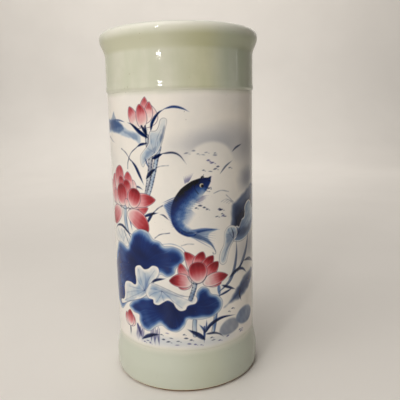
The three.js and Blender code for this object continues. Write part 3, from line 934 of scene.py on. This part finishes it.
def panel(canvas):
    """The painted panel: one cell of the canvas is one vertex of its face."""
    angle = np.arange(canvas.columns) * 2 * math.pi / canvas.columns
    height = np.linspace(LOWER_BORDER, UPPER_BORDER, canvas.rows)
    sines, cosines = np.sin(angle), -np.cos(angle)
    x = np.tile(sines, (canvas.rows, 1)) * PANEL_RADIUS
    y = np.tile(cosines, (canvas.rows, 1)) * PANEL_RADIUS
    z = np.repeat(height[:, None], canvas.columns, axis=1)
    inward = 1 - (0.1 * MM - wobble(x, y, z)) / PANEL_RADIUS
    vertices = [np.stack([x * inward, y * inward, z], axis=-1).reshape(-1, 3)]
    for edge in (UPPER_BORDER, LOWER_BORDER):
        back_ring = (sines * PANEL_BACK, cosines * PANEL_BACK, np.full(canvas.columns, edge))
        vertices.append(np.stack(back_ring, axis=-1))
    piece = add_mesh("painted_panel", np.vstack(vertices).tolist(), quads(canvas.rows + 2, canvas.columns))
    colour = canvas.colour.reshape(-1, 3)
    colour = np.vstack([colour, np.tile(np.array(GROUND), (2 * canvas.columns, 1))]).clip(0, 1)
    light = np.where(colour <= 0.04045, colour / 12.92, ((colour + 0.055) / 1.055) ** 2.4)
    attribute = piece.data.color_attributes.new("painting", "FLOAT_COLOR", "POINT")
    attribute.data.foreach_set("color", np.hstack([light, np.ones((len(light), 1))]).ravel())
    return piece


# ---------------------------------------------------------------- materials
def linear(colour):
    """An sRGB colour of 0 to 1 as linear RGBA."""
    return tuple(c / 12.92 if c <= 0.04045 else ((c + 0.055) / 1.055) ** 2.4 for c in colour) + (1.0,)


class Nodes:
    """A small helper for one material's node tree."""

    def __init__(self, name, roughness, specular=0.5):
        self.material = bpy.data.materials.new(name)
        self.material.use_nodes = True
        self.tree = self.material.node_tree
        self.shader = self.tree.nodes["Principled BSDF"]
        self.shader.inputs["Roughness"].default_value = roughness
        self.shader.inputs["Specular IOR Level"].default_value = specular
        self.place = self.add("ShaderNodeTexCoord").outputs["Object"]

    def add(self, kind, **settings):
        """A new node. A setting is one of its properties, or the value of an input."""
        node = self.tree.nodes.new(kind)
        for key, value in settings.items():
            if hasattr(node, key):
                setattr(node, key, value)
            else:
                node.inputs[key.replace("_", " ")].default_value = value
        return node

    def link(self, source, target):
        self.tree.links.new(source, target)

    def noise(self, scale, detail, roughness, stretch=None):
        """Noise in object space. scale is in features per metre."""
        node = self.add("ShaderNodeTexNoise", Scale=scale, Detail=detail, Roughness=roughness)
        source = self.place
        if stretch:
            mapping = self.add("ShaderNodeMapping")
            mapping.inputs["Scale"].default_value = stretch
            self.link(source, mapping.inputs["Vector"])
            source = mapping.outputs["Vector"]
        self.link(source, node.inputs["Vector"])
        return node.outputs["Fac"]

    def span(self, source, low, high, to_low=0.0, to_high=1.0):
        """A smooth step from to_low, where the source is at low, to to_high, where it is at high."""
        node = self.add("ShaderNodeMapRange", interpolation_type="SMOOTHSTEP")
        for key, value in (("From Min", low), ("From Max", high), ("To Min", to_low), ("To Max", to_high)):
            node.inputs[key].default_value = value
        self.link(source, node.inputs["Value"])
        return node.outputs["Result"]

    def mix(self, factor, first, second, blend="MIX"):
        """Mixes sockets or colours. A colour of three numbers is sRGB, and one of four is linear."""
        node = self.add("ShaderNodeMix", data_type="RGBA", blend_type=blend)
        for socket, value in ((node.inputs[0], factor), (node.inputs[6], first), (node.inputs[7], second)):
            if isinstance(value, bpy.types.NodeSocket):
                self.link(value, socket)
            else:
                is_srgb = isinstance(value, tuple) and len(value) == 3
                socket.default_value = linear(value) if is_srgb else value
        return node.outputs[2]

    def coordinate(self, axis):
        """X, Y or Z in metres. Z is the height above the table."""
        node = self.add("ShaderNodeSeparateXYZ")
        self.link(self.place, node.inputs["Vector"])
        return node.outputs[axis]

    def bump(self, *layers):
        """Stacked bumps, each (height source, distance in metres)."""
        normal = None
        for source, distance in layers:
            node = self.add("ShaderNodeBump", Strength=1.0, Distance=distance)
            self.link(source, node.inputs["Height"])
            if normal:
                self.link(normal, node.inputs["Normal"])
            normal = node.outputs["Normal"]
        self.link(normal, self.shader.inputs["Normal"])

    def colour(self, source):
        self.link(source, self.shader.inputs["Base Color"])

    def glaze(self, body, grain, rarity, speck, gloss, *bumps):
        """Finishes a glaze: specks in its colour, its bumps, and a gloss that varies a little.

        grain is how many specks fit in a metre. rarity is near 1 for few specks. gloss is how many
        patches fit in a metre, and the lowest and the highest roughness.
        """
        specks = self.span(self.noise(grain, 1, 0.3), rarity, rarity + 0.03)
        self.colour(self.mix(specks, body, speck))
        self.bump(*bumps)
        scale, smoothest, dullest = gloss
        patches = self.span(self.noise(scale, 3, 0.5), 0.3, 0.7, smoothest, dullest)
        self.link(patches, self.shader.inputs["Roughness"])
        return self.material


def celadon(name):
    """Cloudy grey-green glaze, pale where thinly glazed, pinholes, specks; painted shade under the lip and
    on the right, painted light on the crest.
    """
    n = Nodes(name, 0.06)
    clouds = n.span(n.noise(26, 4, 0.55), 0.35, 0.7)
    body = n.mix(clouds, (0.82, 0.82, 0.747), (0.86, 0.855, 0.793))
    drips = n.span(n.noise(60, 3, 0.5, stretch=(1.0, 1.0, 0.12)), 0.4, 0.75)
    body = n.mix(drips, body, (0.8, 0.81, 0.726))
    height = n.coordinate("Z")
    body = n.mix(n.span(height, UPPER_BORDER, LOWER_BORDER), body, (0.785, 0.8, 0.74))
    # Painted shade: the glaze is darker under the rolled lip, from the neck up to the lip's widest line.
    under = n.span(height, NECK - 1 * MM, NECK + 4 * MM)
    under_lip_shade = n.mix(n.span(height, LIP_WIDEST, LIP_WIDEST - 7 * MM), (0, 0, 0), under)
    body = n.mix(under_lip_shade, body, (0.785, 0.785, 0.685))
    # Painted shade: the glaze is darker towards the pot's right (+X), warmer and then greyer, and less so
    # low on the foot.
    right = n.coordinate("X")
    right_shade_tint = n.mix(n.span(right, -18 * MM, 26 * MM), (1, 1, 1), (0.945, 0.945, 0.875))
    right_shade_tint = n.mix(n.span(right, 22 * MM, 48 * MM), right_shade_tint, (0.895, 0.92, 0.915))
    right_side_shade = n.mix(1.0, body, right_shade_tint, "MULTIPLY")
    body = n.mix(n.span(height, LOWER_BORDER, UPPER_BORDER, 0.35, 1.0), body, right_side_shade)
    # Paler towards the lip's top: partly thinner glaze on the crest, and partly painted light from above.
    crest = n.span(height, LIP_WIDEST - 6 * MM, LIP_TOP)
    thin_glaze_and_lit_crest = n.mix(crest, body, (0.94, 0.935, 0.89))
    thin_glaze_and_lit_crest = n.mix(n.span(height, GLAZE_END + 3 * MM, GLAZE_END), thin_glaze_and_lit_crest, (0.83, 0.8, 0.69))
    uneven = n.add("ShaderNodeMath", operation="MULTIPLY_ADD")
    n.link(n.noise(55, 2, 0.5), uneven.inputs[0])
    uneven.inputs[1].default_value = 2.4 * MM
    n.link(height, uneven.inputs[2])
    below = n.span(uneven.outputs[0], LOWER_BORDER - 6 * MM, LOWER_BORDER + 2.5 * MM)
    above = n.span(uneven.outputs[0], UPPER_BORDER + 4.5 * MM, UPPER_BORDER + 0.5 * MM)
    upper = n.span(height, LOWER_BORDER, UPPER_BORDER)
    edge = n.mix(n.span(upper, 0.4, 0.6), below, above)
    thin_glaze_and_lit_crest = n.mix(edge, thin_glaze_and_lit_crest, (0.86, 0.855, 0.8))
    pinholes = n.span(n.noise(1300, 0, 0.3), 0.25, 0.21)
    return n.glaze(thin_glaze_and_lit_crest, 750, 0.8, (0.6, 0.54, 0.4), (40, 0.03, 0.06), (n.noise(55, 2, 0.4), 0.00003),
                   (n.noise(420, 2, 0.4), 0.000003), (pinholes, -0.00002))


def painted_glaze():
    """Clear glaze over the painting on its white ground."""
    n = Nodes("painted_glaze", 0.05, specular=0.3)
    paint = n.add("ShaderNodeVertexColor", layer_name="painting").outputs["Color"]
    tone = n.span(n.noise(18, 4, 0.6), 0.3, 0.75)
    ground = n.mix(tone, (1, 1, 1), (0.955, 0.965, 0.975))
    toned = n.mix(1.0, paint, ground, "MULTIPLY")
    return n.glaze(toned, 760, 0.81, (0.42, 0.4, 0.42), (45, 0.035, 0.06), (n.noise(50, 2, 0.4), 0.00003),
                   (n.noise(380, 2, 0.4), 0.000003))


def clear_glaze():
    """Clear glaze on plain white clay, with slightly cooler patches and faint throwing rings."""
    n = Nodes("clear_glaze", 0.1)
    clouds = n.span(n.noise(22, 4, 0.6), 0.3, 0.7)
    body = n.mix(clouds, (0.9, 0.895, 0.86), (0.865, 0.875, 0.85))
    rings = n.add("ShaderNodeTexWave", wave_type="BANDS", bands_direction="Z", Scale=34.0, Distortion=1.5)
    n.link(n.place, rings.inputs["Vector"])
    return n.glaze(body, 640, 0.77, (0.5, 0.42, 0.32), (40, 0.1, 0.2), (rings.outputs["Fac"], 0.00012),
                   (n.noise(300, 2, 0.4), 0.00004))


def bare_clay():
    """Unglazed clay: gritty, burnt orange-brown next to the glaze and paler underneath."""
    n = Nodes("bare_clay", 0.8, specular=0.3)
    grain = n.span(n.noise(700, 4, 0.6), 0.3, 0.7)
    pale = n.mix(grain, (0.74, 0.63, 0.48), (0.84, 0.75, 0.62))
    burnt = n.mix(grain, (0.36, 0.21, 0.09), (0.48, 0.3, 0.14))
    patches = n.noise(60, 3, 0.6)
    height = n.coordinate("Z")
    edge = n.span(height, 0.0, 0.6 * MM)
    mottled = n.mix(n.span(patches, 0.35, 0.6), edge, (0.25, 0.25, 0.25, 1), "LIGHTEN")
    n.colour(n.mix(mottled, pale, burnt))
    n.bump((n.noise(900, 3, 0.6), 0.00012), (n.noise(2600, 2, 0.6), 0.00005))
    return n.material


def porcelain_body():
    """Fired white clay of the hidden members."""
    n = Nodes("porcelain_body", 0.6, specular=0.4)
    grain = n.span(n.noise(500, 4, 0.6), 0.3, 0.7)
    n.colour(n.mix(grain, (0.86, 0.83, 0.77), (0.91, 0.89, 0.84)))
    n.bump((n.noise(800, 3, 0.6), 0.00008))
    return n.material


# ---------------------------------------------------------------- the pot
def build_pot():
    """The six fine pieces in place of their CAD nodes, and the clay of the three that stay."""
    cell = 0.5
    canvas = Canvas(PANEL_RADIUS / MM, LOWER_BORDER / MM, UPPER_BORDER / MM, cell)
    paint(canvas)
    celadon_glaze = celadon("celadon_glaze")
    clear = clear_glaze()
    clay = bare_clay()
    body = porcelain_body()
    finish_piece(upper_coat(), "upper_celadon_coat", celadon_glaze)
    finish_piece(lower_coat(), "lower_celadon_coat", celadon_glaze)
    finish_piece(panel(canvas), "painted_panel_coat", painted_glaze())
    finish_piece(well_coat(), "inner_glaze_coat", clear)
    finish_piece(recess_glaze(), "base_glaze_coat", clear)
    finish_piece(ring(), "foot_ring", clay)
    for node in ("wall", "floor_slab", "rolled_lip"):
        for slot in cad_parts[node].material_slots:
            slot.material = body


# ---------------------------------------------------------------- floor, light and camera
def floor():
    """A plain pale floor that curves up into a plain wall far behind the pot."""
    half_width, front_edge, bend, curve, wall_top = 40.0, -40.0, 1.7, 1.0, 3.2
    angle = np.radians(np.linspace(0, 90, 25))
    outline = [(front_edge, 0.0)]
    outline += list(zip(bend + curve * np.sin(angle), curve - curve * np.cos(angle)))
    outline += [(bend + curve, wall_top)]
    vertices = [(x, y, z) for y, z in outline for x in (-half_width, half_width)]
    faces = [(2 * k, 2 * k + 1, 2 * k + 3, 2 * k + 2) for k in range(len(outline) - 1)]
    piece = add_mesh("floor", vertices, faces)
    n = Nodes("pale_floor", 0.45, specular=0.25)
    cloud = n.span(n.noise(3, 3, 0.5), 0.3, 0.7)
    n.colour(n.mix(cloud, (0.9, 0.885, 0.865), (0.915, 0.9, 0.88)))
    piece.data.materials.append(n.material)


def area_light(name, azimuth, elevation, distance, width, height, power, colour=(1.0, 0.97, 0.93),
               aim=(0, 0, 0.2), glossy=True):
    """A soft panel of light. Azimuth 0 is in front of what it is aimed at and plus is to its right."""
    light = bpy.data.lights.new(name, "AREA")
    light.shape = "RECTANGLE"
    light.size = width
    light.size_y = height
    light.energy = power
    light.color = colour
    lamp = add_object(name, light)
    turn, rise = math.radians(azimuth), math.radians(elevation)
    away = Vector((math.sin(turn) * math.cos(rise), -math.cos(turn) * math.cos(rise), math.sin(rise)))
    lamp.location = Vector(aim) + away * distance
    lamp.rotation_euler = (-away).to_track_quat("-Z", "Y").to_euler()
    lamp.visible_glossy = glossy


def lights():
    """A broad window on the left, light from above, weak fill and rear light, and what makes the glints."""
    glint = (1.0, 0.98, 0.95)
    band = (0, 0, 0.33)
    area_light("window", -42, 36, 1.9, 1.5, 1.3, 15.9, (1.0, 0.97, 0.92), glossy=False)
    area_light("fill", 10, 20, 2.4, 1.6, 1.2, 1.6, (1.0, 0.92, 0.78), glossy=False)
    area_light("overhead", -60, 74, 2.4, 1.8, 1.8, 17)
    area_light("rear_right", 150, 30, 2.0, 1.4, 1.4, 1.6)
    area_light("right_strip", 94, 0, 1.5, 0.05, 0.37, 0.12, glint, (0, 0, 0.355))
    area_light("glint_band", -29.5, 6.6, 2.0, 0.2, 0.01, 0.45, glint, band)
    area_light("glint_bead", -29.5, 12.8, 2.0, 0.2, 0.3, 8, glint, band)
    area_light("rear", 185, 30, 2.4, 1.6, 1.2, 6, glossy=False)
    area_light("backdrop", 0, 50, 1.6, 3.0, 0.3, 22, aim=(0, 2.6, 0.7), glossy=False)
    world = bpy.data.worlds.new("studio")
    bpy.context.scene.world = world
    world.use_nodes = True
    background = world.node_tree.nodes["Background"]
    background.inputs["Color"].default_value = linear((0.95, 0.92, 0.88))
    background.inputs["Strength"].default_value = 0.13


def camera():
    """Stands a little above the pot's middle, close enough for strong perspective."""
    distance, height = 0.5117, 0.2743
    yaw, pitch, roll = 0.0361, 0.1777, -0.0229
    forward = Vector((math.sin(yaw) * math.cos(pitch), math.cos(yaw) * math.cos(pitch), -math.sin(pitch)))
    level_right = Vector((math.cos(yaw), -math.sin(yaw), 0))
    level_up = level_right.cross(forward)
    right = level_right * math.cos(roll) + level_up * math.sin(roll)
    up = right.cross(forward)
    data = bpy.data.cameras.new("camera")
    data.sensor_width = 36
    data.lens = 42.48
    data.clip_start = 0.01
    view = add_object("camera", data)
    turn = Matrix((right, up, -forward)).transposed().to_4x4()
    view.matrix_world = Matrix.Translation((0, -distance, height)) @ turn
    bpy.context.scene.camera = view


build_pot()
floor()
lights()
bpy.context.scene.view_settings.view_transform = "Standard"
camera()
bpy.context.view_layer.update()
